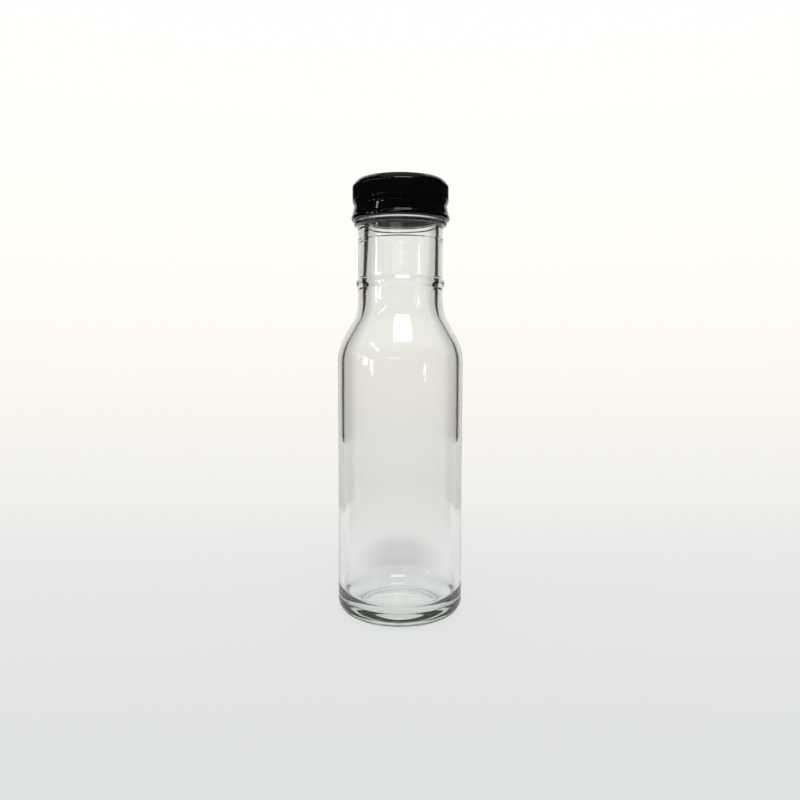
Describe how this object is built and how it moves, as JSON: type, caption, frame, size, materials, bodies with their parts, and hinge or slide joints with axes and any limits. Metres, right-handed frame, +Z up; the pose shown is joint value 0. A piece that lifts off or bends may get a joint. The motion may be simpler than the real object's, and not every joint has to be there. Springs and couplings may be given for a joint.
{
  "type": "glass sauce bottle",
  "caption": "Empty clear glass sauce bottle with a straight round body, sloping shoulder, a raised ring on the neck and a black knurled metal screw cap.",
  "frame": {"origin": "centre of the ring that the bottle stands on, at the lowest point of the part", "axes": "+Z up along the bottle's axis; the bottle is round, so X and Y are free, with -Y towards the pictured side"},
  "size_m": [0.0524, 0.0524, 0.1805],
  "materials": {
    "clear_glass": "clear polished glass with a faint green tint",
    "black_lacquer": "gloss black lacquer on pressed tinplate"
  },
  "bodies": {
    "root": {"bottle": "clear_glass", "cap": "black_lacquer"}
  },
  "joints": []
}
